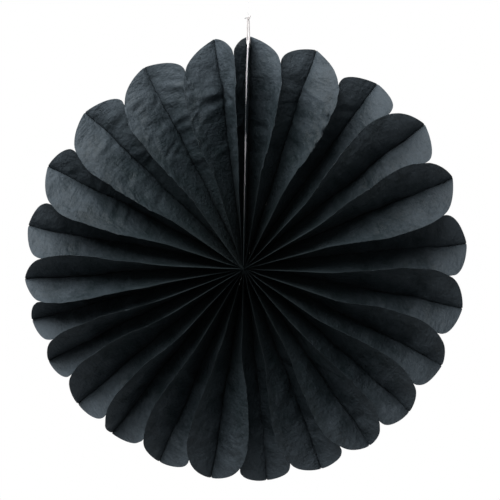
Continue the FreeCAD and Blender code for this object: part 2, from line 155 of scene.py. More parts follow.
# The camera: its turn to the right and its rise above the fan's axis, its distance from the
# plane of the front ridges, and the point beside and above the axis that it looks at.
CAMERA_TURN = math.radians(2.45)
CAMERA_RISE = math.radians(6.7)
CAMERA_DISTANCE = 1.5
RIDGE_PLANE = -0.021
AIM_RIGHT, AIM_UP = 0.0058, 0.0164
LENS = 121.6

# The cords' routes, in mm: the cotton loop from its knot through the punched cards and back,
# and the clear line from that knot up, round the eye and back to the eye's own knot.
LOOP_ROUTE = [
    (-0.66, 0, -32.7), (-1.00, 0, -47.50), (-1.30, 0, -53.65),
    (1.30, 0, -53.65), (1.00, 0, -47.50), (0.66, 0, -32.7),
]
LINE_ROUTE = [
    (0, 0, -29.3), (0, 0, -20.0), (0, 0, -12.0), (-0.32, 0, -10.2),
    (-2.625, 0, -6.4), (-3.5, 0, -3.4), (-1.925, 0, -0.2), (1.925, 0, -0.2),
    (3.5, 0, -3.4), (2.625, 0, -6.4), (0.32, 0, -10.2),
]
# The short free ends that stand out of the loop's knot, in mm: two of cord, one of clear line.
LOOP_TAILS = [
    [(0.3, -0.2, -30.6), (0.9, -0.5, -29.7), (1.5, -0.6, -29.2), (1.9, -0.5, -28.5)],
    [(-0.2, 0.3, -30.4), (-0.5, 0.9, -29.6), (-0.8, 1.4, -28.9), (-0.7, 1.8, -28.1)],
]
LINE_TAIL = [(0.2, -0.7, -30.1), (-1.1, -1.2, -29.7), (-2.2, -1.0, -29.8), (-2.7, -0.9, -30.3)]

# The angle that each leaf spans, in degrees, counter-clockwise from the seam: two to a petal.
LEAF_OPENINGS = [
    3.5, 5.0, 9.0, 10.0, 9.5, 10.0, 9.5, 8.0, 8.5, 8.0, 7.5, 6.5,
    6.0, 5.0, 6.0, 5.0, 6.0, 8.0, 7.0, 5.0, 7.5, 7.0, 7.5, 7.0,
    8.0, 7.0, 7.0, 7.5, 7.5, 6.5, 7.0, 7.0, 7.5, 7.0, 8.5, 7.5,
    9.0, 8.0, 9.0, 8.0, 7.5, 8.0, 8.5, 7.5, 8.5, 9.0, 8.0, 9.0,
]
# How far each glued front margin leans sideways at the rim, in degrees.
FRONT_LEANS = [
    -8.0, 55.0, 60.0, 55.0, 50.0, -35.0, 20.0, -40.0, -45.0, -45.0, -40.0, -45.0,
    55.0, -45.0, -50.0, 45.0, 50.0, 55.0, 45.0, -40.0, 55.0, 60.0, -55.0, -25.0,
]
# How much further than the fan's radius each fold reaches, in mm: the seam, then ridges and
# creases in turn, counter-clockwise, and the seam again.
FOLD_REACHES = [
    5.5, 4.5, 4.8, -1.0, -1.0, -3.0, -1.3, -2.0, -1.0, -1.5, 0.0, -1.0,
    1.5, 0.0, 2.0, 1.0, 1.5, 0.5, 0.8, 0.5, -0.5, -1.5, -1.0, -0.5,
    0.0, 0.0, 0.5, 0.0, 0.5, 0.5, 1.5, 1.5, 1.5, 1.5, 1.0, 0.0,
    0.5, 0.5, 0.7, 0.5, 2.8, 3.0, 5.0, 4.5, 1.5, 0.0, 3.2, 1.5, 5.5,
]
# How wrinkled each glued front margin is, counter-clockwise from the seam.
FRONT_WRINKLES = [
    0.6, 1.8, 1.6, 1.3, 0.8, 0.6, 0.5, 0.5, 0.5, 0.5, 0.6, 0.6,
    0.6, 0.6, 0.6, 0.6, 0.6, 0.6, 0.7, 0.6, 0.8, 0.9, 1.5, 0.9,
]

thread_low, thread_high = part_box("centre_thread")
hub = np.array((Vector(thread_low) + Vector(thread_high)) / 2)


def to_frame(points):
    """Points of the fan, given about its hub with the seam straight up, in the row frame."""
    c, s = math.cos(SEAM_LEAN), math.sin(SEAM_LEAN)
    x, y, z = points[..., 0], points[..., 1], points[..., 2]
    return hub + np.stack([x * c + z * s, y, z * c - x * s], axis=-1)


def smooth(x):
    """A soft step from 0 to 1."""
    x = np.clip(x, 0.0, 1.0)
    return x * x * (3 - 2 * x)


def risen(radius, start, over):
    """0 as far as a start radius, and 1 from a distance past it on, with a soft step between."""
    return smooth((radius - start) / over)


# ---------------------------------------------------------------- seeded irregularities


class Wave:
    """A smooth random line: a few sines of different lengths, all seeded."""

    def __init__(self, seed, longest):
        rng = np.random.default_rng(seed)
        self.turns = 2 * math.pi / (longest * np.array([1.0, 0.62, 0.41, 0.27]))
        self.starts = rng.uniform(0, 2 * math.pi, 4)
        self.heights = np.array([1.0, 0.7, 0.45, 0.25]) * rng.uniform(0.6, 1.2, 4)

    def __call__(self, x):
        waves = zip(self.turns, self.starts, self.heights)
        return sum(height * np.sin(turn * x + start) for turn, start, height in waves) / 1.6


class Crinkles:
    """Random straight creases on a sheet, each a small tent with sharp edges and soft ends."""

    def __init__(self, seed, count, across, radius, length, width, height, tilt):
        rng = np.random.default_rng(seed)
        self.marks = np.stack(
            [
                rng.uniform(*across, count),
                rng.uniform(*radius, count),
                rng.normal(0.0, math.radians(tilt), count),
                rng.uniform(*length, count),
                rng.uniform(*width, count),
                rng.uniform(*height, count) * rng.choice([-1, 1], count),
            ],
            axis=1,
        )

    def __call__(self, across, radius):
        total = np.zeros(np.broadcast(across, radius).shape)
        for a, r, turn, length, width, height in self.marks:
            along = (across - a) * math.cos(turn) + (radius - r) * math.sin(turn)
            off = (radius - r) * math.cos(turn) - (across - a) * math.sin(turn)
            tent = np.clip(1 - np.abs(off) / width, 0, 1)
            total += height * tent * smooth(1.4 - 1.4 * np.abs(along) / length)
        return total


# ---------------------------------------------------------------- folds and leaves


class Fold:
    """A glue line that two leaves share: a ridge at the front or a crease at the back."""

    def __init__(self, number, opening, spread, lean, front, seed, wrinkle):
        self.opening = opening
        self.even = 2 * math.pi * number / len(LEAF_OPENINGS)
        self.reach = FOLD_REACHES[number] / 1000
        self.spread = spread
        self.lean = lean
        self.front = front
        self.sway = Wave(seed, 0.11)
        self.bob = Wave(seed + 1, 0.09)
        self.tuck = FOLD_TUCK * np.random.default_rng(seed + 3).uniform() ** 0.7
        self.still = spread is None
        self.wrinkle = wrinkle
        self.crinkles = Crinkles(
            seed + 2,
            count=60,
            across=(0.0, MARGIN),
            radius=(0.04, 0.2),
            length=(0.004, 0.012),
            width=(0.0014, 0.0035),
            height=(0.0002, 0.0008),
            tilt=22,
        )

    def angle(self, radius):
        """Angle of the fold round the hub, with the room that the cards take at the seam."""
        uneven = risen(radius, HUB_GAP, HUB_EVEN - HUB_GAP)
        turn = self.even + (self.opening - self.even) * uneven
        seam = SEAM_HALF * risen(radius, SEAM_START, CARD_START - SEAM_START)
        turn = turn + seam / radius * (1 - turn / math.pi)
        if self.still:
            return turn
        return turn + FOLD_SWAY * self.sway(radius) * risen(radius, *SWAY_RISE) / radius

    def depth(self, radius):
        """How far the fold lies behind the fan's middle plane: less where the petal is wider."""
        if self.still:
            return np.full_like(radius, LEAF_WIDTH / 2 - MARGIN)
        reach = PLEAT_TAUT * MIDDLE
        half = np.sqrt(np.maximum(reach**2 - (radius * self.spread) ** 2, FLAT_DEPTH**2)) / 2
        half = half + FOLD_BOB * self.bob(radius) * risen(radius, *BOB_RISE)
        half = half - self.tuck * (1 - risen(radius, *TUCK_FADE))
        return -half if self.front else half

    def heading(self, radius):
        """Direction in which the glued margin runs from its front to its back."""
        lean = math.radians(self.lean) * risen(radius, LEAN_START, LEAN_FULL - LEAN_START)
        return np.stack([-np.sin(lean), np.cos(lean)])

    def dent(self, from_edge, radius):
        """Wrinkles of the glued margin, along its normal, at a distance from its free edge."""
        if self.still:
            return np.zeros(np.broadcast(from_edge, radius).shape)
        grown = risen(radius, *WRINKLE_RISE)
        return self.wrinkle * grown * self.crinkles(from_edge, radius)


def make_folds():
    """The front ridges and the back creases; the first and last crease lie at the seam."""
    openings = np.radians(LEAF_OPENINGS)
    edges = np.concatenate([[0.0], np.cumsum(openings)])
    ridges = []
    creases = [Fold(0, 0.0, None, 0.0, False, 500, 0)]
    for number in range(1, len(openings)):
        spread = (openings[number - 1] + openings[number]) / 2
        if number % 2:
            lean, wrinkle = FRONT_LEANS[number // 2], FRONT_WRINKLES[number // 2]
            ridges.append(Fold(number, edges[number], spread, lean, True, 10 * number, wrinkle))
        else:
            lean = BACK_LEAN * math.sin(2.1 * number)
            creases.append(Fold(number, edges[number], spread, lean, False, 10 * number, 0.6))
    creases.append(Fold(len(openings), 2 * math.pi, None, 0.0, False, 900, 0))
    return ridges, creases


def cut_end(across, end, back_round):
    """Radius at which a leaf or a card ends, at a distance across it; both corners are round."""
    tip = np.clip(TIP_ROUND - across, 0, None)
    corner = np.clip(across - (LEAF_WIDTH - back_round), 0, None)
    front = end - TIP_ROUND + np.sqrt(TIP_ROUND**2 - tip**2)
    return front - (back_round - np.sqrt(np.clip(back_round**2 - corner**2, 0, None)))


def fold_ease(heading, chord):
    """How far a leaf runs on straight past its margin: less where it has to turn back sharply."""
    return MIDDLE * (0.05 + 0.095 * (1 + (heading * chord).sum(axis=0)))


def leaf_section(ridge, crease, side, radius, across):
    """Points and headings of a leaf in the unrolled section at each radius, as (2, ...) arrays."""
    offset = side * SHEET_PITCH / 2
    ahead, behind = ridge.heading(radius), crease.heading(radius)
    swing = radius * (crease.angle(radius) - ridge.angle(radius))
    start = np.stack([ahead[1], -ahead[0]]) * offset
    start = start + np.stack([np.zeros_like(radius), ridge.depth(radius)])
    finish = np.stack([swing, crease.depth(radius)]) - np.stack([behind[1], -behind[0]]) * offset
    chord = (finish - start) / np.linalg.norm(finish - start, axis=0)
    near = start + ahead * fold_ease(ahead, chord)
    far = finish - behind * fold_ease(behind, chord)
    u = np.clip((across - MARGIN) / MIDDLE, 0, 1)
    v = 1 - u
    point = start * v**3 + near * (3 * v * v * u) + far * (3 * v * u * u) + finish * u**3
    heading = (near - start) * (v * v) + (far - near) * (2 * v * u) + (finish - far) * (u * u)
    heading = heading / np.linalg.norm(heading, axis=0)
    point = point - ahead * np.clip(MARGIN - across, 0, None)
    point = point + behind * np.clip(across - MARGIN - MIDDLE, 0, None)
    return point, heading


# Steps across a leaf, close together at its edges and folds, and along it, close at the hub.
FRONT_STEPS = MARGIN * (1 - np.cos(np.radians([0, 14, 28, 41, 54, 66, 78])))
FOLD_STEPS = MARGIN + np.array([-0.0009, 0.0, 0.0009, 0.0019, 0.0032])
BODY_STEPS = MARGIN + MIDDLE * np.linspace(0.13, 0.87, 15)
BACK_STEPS = LEAF_WIDTH - np.concatenate([FRONT_STEPS, FOLD_STEPS])[::-1]
ACROSS = np.concatenate([FRONT_STEPS, FOLD_STEPS, BODY_STEPS, BACK_STEPS])
SHARES = np.concatenate([[0.0, 0.004, 0.01, 0.018, 0.027], np.linspace(0.037, 1, 104)])


def grid_faces(rows, columns):
    """Quads of a closed sheet: two grids of points, one on each face, joined round the border."""
    index = np.arange(rows * columns).reshape(rows, columns)
    low = np.stack([index[:-1, :-1], index[1:, :-1], index[1:, 1:], index[:-1, 1:]], axis=-1)
    low = low.reshape(-1, 4)
    high = low[:, ::-1] + rows * columns
    border = np.concatenate([index[0, :-1], index[:-1, -1], index[-1, :0:-1], index[:0:-1, 0]])
    after = np.roll(border, -1)
    rim = np.stack([border, after, after + rows * columns, border + rows * columns], axis=1)
    return np.concatenate([low, high, rim])


def new_mesh(name, points, quads, plan=None):
    """A mesh of quads with smooth faces, and its flat plan as a UV map in metres."""
    mesh = bpy.data.meshes.new(name)
    mesh.vertices.add(len(points))
    mesh.vertices.foreach_set("co", np.asarray(points, dtype=np.float32).ravel())
    mesh.loops.add(quads.size)
    mesh.loops.foreach_set("vertex_index", quads.astype(np.int32).ravel())
    mesh.polygons.add(len(quads))
    mesh.polygons.foreach_set("loop_start", np.arange(0, quads.size, 4, dtype=np.int32))
    mesh.polygons.foreach_set("use_smooth", np.ones(len(quads), dtype=bool))
    mesh.update(calc_edges=True)
    mesh.set_sharp_from_angle(angle=math.radians(55))
    if plan is not None:
        layer = mesh.uv_layers.new(name="plan")
        layer.uv.foreach_set("vector", plan[quads.ravel()].astype(np.float32).ravel())
    return mesh


def sheet_mesh(name, faces, across, radius, pattern):
    """A thin sheet between two faces of points about the hub, and where its pattern starts."""
    points = to_frame(np.stack(faces)).reshape(-1, 3)
    plan = np.stack([np.broadcast_to(across, radius.shape) + pattern, radius], axis=-1)
    plan = np.concatenate([plan.reshape(-1, 2)] * 2)
    return new_mesh(name, points, grid_faces(len(ACROSS), len(SHARES)), plan)


def add_piece(mesh, material, slot, *nodes):
    """An object on the fan's one body, which stands for the named CAD nodes."""
    piece = bpy.data.objects.new(mesh.name, mesh)
    bpy.context.scene.collection.objects.link(piece)
    mesh.materials.append(material)
    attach(piece, "root")
    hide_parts(*nodes)
    return piece


def leaf_folds(number):
    """The ridge and the crease of a leaf, and the side of the ridge that it lies on."""
    return ridges[(number - 1) // 2], creases[number // 2], -1 if number % 2 else 1


def unrolled(number, radius, across):
    """Distance round the hub and depth of a leaf before it is crumpled, at each radius."""
    ridge, crease, side = leaf_folds(number)
    point, _ = leaf_section(ridge, crease, side, radius, across)
    return point + np.stack([radius * ridge.angle(radius), np.zeros_like(radius)])


def swell_limit(number, radius, across):
    """How far a leaf may swell and stay clear of the leaf, or the card, on either side of it."""
    own = unrolled(number, radius, across)
    gaps = []
    for other in (number - 1, number + 1):
        if 1 <= other <= len(LEAF_OPENINGS):
            gaps.append(np.linalg.norm(unrolled(other, radius, across) - own, axis=0))
        else:
            seam = creases[0] if other < 1 else creases[-1]
            gaps.append(np.abs(own[0] - radius * seam.angle(radius)))
    return SWELL_SHARE * np.minimum(*gaps)


def make_leaf(number, material):
    """One tissue leaf between its ridge and its crease, crumpled at two scales and billowing."""
    ridge, crease, side = leaf_folds(number)
    across = ACROSS[:, None]
    inward = smooth((across - MARGIN) / MIDDLE)
    end = cut_end(across, FAN_RADIUS, BACK_ROUND)
    end = end + ridge.reach * (1 - inward) + crease.reach * inward
    radius = HUB_GAP + SHARES[None, :] * (end - HUB_GAP)
    point, heading = leaf_section(ridge, crease, side, radius, across)
    fine = Crinkles(
        7000 + number,
        count=70,
        across=(MARGIN, LEAF_WIDTH - MARGIN),
        radius=(0.05, 0.2),
        length=(0.004, 0.014),
        width=(0.0012, 0.004),
        height=(0.00012, 0.00046),
        tilt=60,
    )
    bends = Crinkles(
        7500 + number,
        count=9,
        across=(MARGIN, LEAF_WIDTH - MARGIN),
        radius=(0.085, 0.175),
        length=(0.016, 0.034),
        width=(0.0025, 0.007),
        height=(0.0006, 0.0018),
        tilt=14,
    )
    billow = Wave(8000 + number, 0.07)
    from_front, from_back = across - MARGIN, LEAF_WIDTH - MARGIN - across
    grown = risen(radius, *CRUMPLE_RISE)
    inside = smooth(from_front / FOLD_STIFF) * smooth(from_back / FOLD_STIFF)
    dent = fine(across, radius) + (0.32 + 0.55 * ridge.wrinkle) * bends(across, radius)
    dent = inside * grown * (dent + BILLOW * billow(radius + 0.4 * across))
    limit = np.maximum(swell_limit(number, radius, across), 1e-6)
    dent = limit * np.tanh(dent / limit)
    dent = dent + (1 - smooth(from_front / WRINKLE_REACH)) * ridge.dent(across, radius)
    shared = crease.dent(LEAF_WIDTH - across, radius)
    dent = dent - (1 - smooth(from_back / WRINKLE_REACH)) * shared
    normal = np.stack([heading[1], -heading[0]])
    faces = []
    for shift in (-LEAF_THICK / 2, LEAF_THICK / 2):
        x, y = point + normal * (dent + shift)
        angle = ridge.angle(radius) + x / radius
        faces.append(np.stack([-radius * np.sin(angle), y, radius * np.cos(angle)], axis=-1))
    mesh = sheet_mesh("tissue_%02d" % number, faces, across, radius, PATTERN_STEP * number)
    add_piece(mesh, material, "tissue", "leaf_%02d" % number)


# ---------------------------------------------------------------- materials


class Nodes:
    """The node tree of a material or a world, with short calls to add and join nodes."""

    def __init__(self, owner):
        owner.use_nodes = True
        self.owner = owner
        self.tree = owner.node_tree

    def place(self):
        """Where a point lies on its object, in metres."""
        return self.add("TexCoord").outputs["Object"]

    def seen(self):
        """1 for rays that reach the eye: straight, mirrored, or through the clear line."""
        paths = self.add("LightPath").outputs
        straight = self.larger(paths["Is Camera Ray"], paths["Is Glossy Ray"])
        return self.larger(straight, paths["Is Transmission Ray"])

    def add(self, kind, inputs=None, **settings):
        node = self.tree.nodes.new("ShaderNode" + kind)
        for key, value in settings.items():
            setattr(node, key, value)
        for key, value in (inputs or {}).items():
            self.give(node.inputs[key], value)
        return node

    def give(self, socket, value):
        """Set a socket to a plain value, or link it from another socket."""
        if isinstance(value, bpy.types.NodeSocket):
            self.tree.links.new(value, socket)
        else:
            socket.default_value = value

    def noise(self, where, scale, detail=3.0, rough=0.5):
        inputs = {"Vector": where, "Scale": scale, "Detail": detail, "Roughness": rough}
        return self.add("TexNoise", inputs).outputs["Fac"]

    def remap(self, value, low, high, to_low, to_high):
        inputs = {"Value": value, "From Min": low, "From Max": high}
        inputs.update({"To Min": to_low, "To Max": to_high})
        return self.add("MapRange", inputs).outputs["Result"]

    def mix(self, share, first, second):
        node = self.add("Mix", data_type="RGBA")
        self.give(node.inputs[0], share)
        self.give(node.inputs[6], first)
        self.give(node.inputs[7], second)
        return node.outputs[2]

    def sum(self, first, second, scale=1.0):
        """first + scale * second"""
        node = self.add("Math", operation="MULTIPLY_ADD")
        self.give(node.inputs[0], second)
        self.give(node.inputs[1], scale)
        self.give(node.inputs[2], first)
        return node.outputs[0]

    def larger(self, first, second):
        node = self.add("Math", {0: first, 1: second}, operation="MAXIMUM")
        return node.outputs[0]

    def times(self, first, second):
        node = self.add("Math", {0: first, 1: second}, operation="MULTIPLY")
        return node.outputs[0]

    def bump(self, height, distance):
        inputs = {"Height": height, "Distance": distance, "Strength": 1.0}
        return self.add("Bump", inputs).outputs["Normal"]

    def finish(self, **inputs):
        """Set or link the surface shader's inputs, and return the material."""
        shader = self.tree.nodes["Principled BSDF"]
        for key, value in inputs.items():
            self.give(shader.inputs[key.replace("_", " ")], value)
        return self.owner


def tissue_material():
    """Thin black tissue, crumpled at several scales: paler towards the rim, which is painted
    light, and darker at the hub, which is painted shade.
    """
    n = Nodes(bpy.data.materials.new("black_tissue"))
    plan = n.add("UVMap", uv_map="plan").outputs["UV"]
    cloud = n.noise(plan, 60.0, 4.0, 0.6)
    mottle = n.noise(plan, 330.0, 3.0, 0.6)
    stretched = n.add("Mapping", {"Vector": plan, "Scale": (1.0, 0.45, 1.0)}).outputs[0]
    fibre = n.noise(stretched, 1500.0, 3.0, 0.6)
    cells = n.add("TexVoronoi", {"Vector": plan, "Scale": 190.0}, feature="F2")
    tone = n.remap(n.sum(n.sum(cloud, mottle, 0.6), fibre, 0.5), 0.83, 1.27, 0.0, 1.0)
    colour = n.mix(tone, (0.0090, 0.0145, 0.0170, 1), (0.0235, 0.0320, 0.0390, 1))
    radius = n.add("SeparateXYZ", {"Vector": plan}).outputs["Y"]
    # painted light: the tissue turns paler towards the rim, where more light reaches the leaves
    painted_rim_light = n.remap(n.sum(radius, n.sum(cloud, mottle, 0.5), 0.06), 0.188, 0.258, 0.0, 0.8)
    colour = n.mix(painted_rim_light, colour, (0.0680, 0.0850, 0.1000, 1))
    # painted shade: the tissue darkens towards the hub, where the leaves shade one another
    colour = n.mix(n.remap(radius, 0.02, 0.15, 0.65, 0.0), colour, (0.0018, 0.0056, 0.0056, 1))
    # bands of fine wrinkles run across the leaf in places
    drawn = n.add("Mapping", {"Vector": plan, "Scale": (0.16, 1.0, 1.0)}).outputs[0]
    patches = n.remap(n.noise(plan, 34.0, 1.0), 0.47, 0.60, 0.0, 1.0)
    bands = n.times(n.noise(drawn, 420.0, 2.0), patches)
    height = n.sum(n.noise(plan, 260.0, 2.0), cells.outputs["Distance"], 0.6)
    height = n.sum(n.sum(height, fibre, 0.2), bands, 0.8)
    dull = n.remap(radius, 0.02, 0.13, 0.2, 0.0)
    return n.finish(
        Base_Color=colour,
        Roughness=n.sum(n.remap(cloud, 0.3, 0.7, 0.50, 0.70), dull),
        Specular_IOR_Level=0.15,
        Normal=n.bump(height, 0.0011),
    )


def paper_material(name, light, dark, fleck):
    """Uncoated paper or board: pale, fibrous and a little soiled."""
    n = Nodes(bpy.data.materials.new(name))
    where = n.place()
    grain = n.noise(where, 2200.0, 4.0, 0.6)
    patch = n.noise(where, 90.0, 2.0)
    colour = n.mix(n.remap(n.sum(patch, grain, fleck), 0.4, 1.0, 0.0, 1.0), light, dark)
    return n.finish(
        Base_Color=colour,
        Roughness=0.82,
        Specular_IOR_Level=0.3,
        Normal=n.bump(grain, 0.00006),
    )


def cotton_material():
    """Raw cotton: off-white, with darker grooves of fluff."""
    n = Nodes(bpy.data.materials.new("cotton_cord"))
    fluff = n.noise(n.place(), 3800.0, 4.0, 0.65)
    share = n.remap(fluff, 0.3, 0.7, 0.0, 1.0)
    return n.finish(
        Base_Color=n.mix(share, (0.42, 0.395, 0.395, 1), (0.66, 0.625, 0.615, 1)),
        Roughness=0.9,
        Sheen_Weight=0.3,
        Sheen_Roughness=0.6,
        Normal=n.bump(fluff, 0.00008),
    )


def thread_material():
    """Black sewing thread, slightly fluffy."""
    n = Nodes(bpy.data.materials.new("black_thread"))
    fluff = n.noise(n.place(), 4200.0, 3.0, 0.6)
    share = n.remap(fluff, 0.3, 0.7, 0.0, 1.0)
    return n.finish(
        Base_Color=n.mix(share, (0.02, 0.02, 0.022, 1), (0.05, 0.05, 0.055, 1)),
        Roughness=0.6,
        Sheen_Weight=0.2,
        Normal=n.bump(fluff, 0.00005),
    )


def line_material():
    """Clear nylon with a slight haze."""
    n = Nodes(bpy.data.materials.new("clear_line"))
    haze = n.noise(n.place(), 900.0, 2.0)
    return n.finish(
        Base_Color=(0.88, 0.89, 0.90, 1),
        Roughness=n.remap(haze, 0.3, 0.7, 0.2, 0.4),
        IOR=1.49,
        Transmission_Weight=0.4,
    )


def make_bead_material():
    """A small dark bead on the end of the clear line."""
    n = Nodes(bpy.data.materials.new("bead_end"))
    speckle = n.noise(n.place(), 1800.0, 3.0)
    share = n.remap(speckle, 0.3, 0.7, 0.0, 1.0)
    return n.finish(
        Base_Color=n.mix(share, (0.03, 0.028, 0.026, 1), (0.12, 0.11, 0.10, 1)),
        Roughness=0.35,
        Normal=n.bump(speckle, 0.00005),
    )


# ---------------------------------------------------------------- cords and knots


def line_along(name, points):
    """Points along a cord: the smooth NURBS line that has the route's points (mm) as controls."""
    curve = bpy.data.curves.new(name, "CURVE")
    curve.dimensions = "3D"
    curve.resolution_u = 48
    spline = curve.splines.new("NURBS")
    spline.points.add(len(points) - 1)
    for target, (x, y, z) in zip(spline.points, points):
        target.co = (x / 1000, y / 1000, z / 1000, 1.0)
    spline.order_u = 3
    spline.use_endpoint_u = True
    bare = bpy.data.objects.new(name, curve)
    mesh = bpy.data.meshes.new_from_object(bare)
    line = np.array([vertex.co for vertex in mesh.vertices])
    bpy.data.objects.remove(bare)
    bpy.data.curves.remove(curve)
    bpy.data.meshes.remove(mesh)
    return line


def turned(first, ahead, angle):
    """A direction turned about the line's own direction."""
    return first * math.cos(angle) + np.cross(ahead, first) * math.sin(angle)


def frames_along(line, closed):
    """Two directions across a line at each of its points, turning as little as possible."""
    if closed:
        ahead = np.roll(line, -1, axis=0) - np.roll(line, 1, axis=0)
    else:
        ahead = np.gradient(line, axis=0)
    ahead = ahead / np.linalg.norm(ahead, axis=1)[:, None]
    side = np.cross(ahead[0], (0.0, 1.0, 0.0))
    if np.linalg.norm(side) < 0.1:
        side = np.cross(ahead[0], (1.0, 0.0, 0.0))
    sides = []
    for direction in ahead:
        side = side - direction * (side @ direction)
        side = side / np.linalg.norm(side)
        sides.append(side)
    if closed:
        last = side - ahead[0] * (side @ ahead[0])
        gap = math.atan2(np.cross(last, sides[0]) @ ahead[0], last @ sides[0])
        count = len(line)
        sides = [turned(side, ahead[i], gap * i / count) for i, side in enumerate(sides)]
    sides = np.array(sides)
    return sides, np.cross(ahead, sides)


def tube(line, reach, closed=False):
    """A closed skin round a line; reach(travel, angle) is its radius, travel in metres."""
    around = 24
    right, up = frames_along(line, closed)
    steps = np.linalg.norm(np.diff(line, axis=0), axis=1)
    travel = np.concatenate([[0.0], np.cumsum(steps)])
    angle = np.linspace(0, 2 * math.pi, around, endpoint=False)
    cosine, sine = np.cos(angle)[None, :, None], np.sin(angle)[None, :, None]
    spokes = cosine * right[:, None, :] + sine * up[:, None, :]
    size = reach(travel[:, None], angle[None, :])[..., None]
    rings = line[:, None, :] + size * spokes
    if not closed:
        # both ends are rounded off by smaller rings
        for end, beyond in ((0, line[0] - line[1]), (-1, line[-1] - line[-2])):
            beyond = beyond / np.linalg.norm(beyond)
            for share, push in ((0.85, 0.3), (0.5, 0.45)):
                ring = line[end] + spokes[end] * size[end] * share
                ring = ring + beyond * size[end].mean() * push
                rings = np.concatenate([ring[None], rings] if end == 0 else [rings, ring[None]])
    count = len(rings)
    index = np.arange(count * around).reshape(count, around)
    if closed:
        index = np.concatenate([index, index[:1]])
    beside = np.roll(index, -1, axis=1)
    quads = np.stack([index[:-1], beside[:-1], beside[1:], index[1:]], axis=-1).reshape(-1, 4)
    if not closed:
        half = np.arange(around // 2 - 1)
        for ring, flip in ((index[0], False), (index[-1], True)):
            cap = np.stack([ring[half], ring[-1 - half], ring[-2 - half], ring[half + 1]], axis=1)
            quads = np.concatenate([quads, cap[:, ::-1] if flip else cap])
    return rings.reshape(-1, 3), quads


def joined(parts):
    """One set of points and quads from several."""
    points, quads, start = [], [], 0
    for part_points, part_quads in parts:
        points.append(part_points)
        quads.append(part_quads + start)
        start += len(part_points)
    return np.concatenate(points), np.concatenate(quads)


def twisted(diameter, plies, lay, total=None):
    """Outline of a twisted cord: its plies bulge and turn once every lay metres."""
    if total:
        lay = total / round(total / lay)

    def reach(travel, angle):
        groove = np.abs(np.sin(plies * (angle - 2 * math.pi * travel / lay) / 2))
        return diameter / 2 * (0.84 + 0.26 * np.sqrt(groove))

    return reach


def round_wire(diameter):
    """Outline of a round line that is drawn a little unevenly."""
    return lambda travel, angle: diameter / 2 * (1 + 0.03 * np.sin(travel * 2600) + 0 * angle)


def trefoil(centre, wide, tall, deep, strand):
    """Closed line of a pulled knot of this size, seen from the front."""
    t = np.linspace(0, 2 * math.pi, 160, endpoint=False)
    x = np.sin(t) + 2 * np.sin(2 * t)
    y = -np.sin(3 * t) * (deep - strand) / 2
    z = np.cos(t) - 2 * np.cos(2 * t)
    x = x / np.ptp(x) * (wide - strand)
    z = (z - z.min()) / np.ptp(z) * (tall - strand) - (tall - strand) / 2
    return np.stack([x, y, z], axis=1) + centre


def length_of(line, closed=False):
    """Length of a line, in metres."""
    if closed:
        line = np.concatenate([line, line[:1]])
    return np.linalg.norm(np.diff(line, axis=0), axis=1).sum()


def make_loop(material):
    """The cotton loop, three plies, and its knot with two short tails."""
    line = line_along("loop_route", LOOP_ROUTE)
    skin = new_mesh("cotton_loop", *tube(line, twisted(CORD_DIA, 3, CORD_LAY)))
    loop = add_piece(skin, material, "cotton_cord", "hanging_loop")
    wrap = trefoil((0, 0, KNOT_HEIGHT), *KNOT_SIZE, KNOT_STRAND)
    around = length_of(wrap, True)
    parts = [tube(wrap, twisted(KNOT_STRAND, 3, KNOT_LAY, around), closed=True)]
    for tail in LOOP_TAILS:
        parts.append(tube(line_along("tail", tail), twisted(KNOT_STRAND, 3, KNOT_LAY)))
    knot = new_mesh("loop_knot_wraps", *joined(parts))
    knot = add_piece(knot, material, "cotton_cord", "loop_knot")
    length_of(line)


def make_line(material, bead_surface):
    """The clear line up to its eye, the eye's knot, and the tail of the lower knot with a dark
    bead.
    """
    line = line_along("line_route", LINE_ROUTE)
    skin = new_mesh("clear_line_and_eye", *tube(line, round_wire(LINE_DIA)))
    clear_line = add_piece(skin, material, "clear_line", "hanging_line", "hanging_eye")
    wrap = trefoil((0, 0, EYE_KNOT_HEIGHT), *EYE_KNOT_SIZE, LINE_DIA)
    knot = new_mesh("eye_knot_wraps", *tube(wrap, round_wire(LINE_DIA), closed=True))
    knot = add_piece(knot, material, "clear_line", "eye_knot")
    stub = tube(line_along("tail", LINE_TAIL), round_wire(LINE_DIA * 0.8))
    stub = add_piece(new_mesh("line_tail", *stub), material, "clear_line")
    low, high = np.array(BEAD_LOW), np.array(BEAD_HIGH)
    drop = low + (high - low) * np.linspace(0, 1, 14)[:, None]

    def swell(travel, angle):
        share = travel / travel.max()
        return BEAD_RADIUS * np.sqrt(np.clip(1 - (2 * share - 1) ** 2, 0.04, 1)) + 0 * angle

    bead = add_piece(new_mesh("tail_bead", *tube(drop, swell)), bead_surface, "clear_line")
    length_of(line)


def make_thread(material):
    """The binding thread, two plies, through the inner ends of all the leaves."""
    turn = np.linspace(0, 2 * math.pi, 260, endpoint=False)
    ring = THREAD_RING * np.stack([np.sin(turn), 0 * turn, np.cos(turn)], axis=1)
    ring = to_frame(ring)
    skin = tube(ring, twisted(THREAD_DIA, 2, THREAD_LAY, length_of(ring, True)), closed=True)
    add_piece(new_mesh("binding_thread", *skin), material, "thread", "centre_thread")


# ---------------------------------------------------------------- seam


def card_front(radius):
    """How far back the front edge of a card lies, round its corner, at each radius."""
    rise = np.clip(radius - (CARD_END - TIP_ROUND), 0, TIP_ROUND)
    return TIP_ROUND - np.sqrt(TIP_ROUND**2 - rise**2)


def lip_gap(radius, sway):
    """Half the slit that is left between the front edges of the two facings."""
    gap = np.interp(radius, [place for place, _ in LIP_GAPS], [half for _, half in LIP_GAPS])
    return np.maximum(LIP_LEAST_GAP, gap + LIP_SWAY * sway(radius))


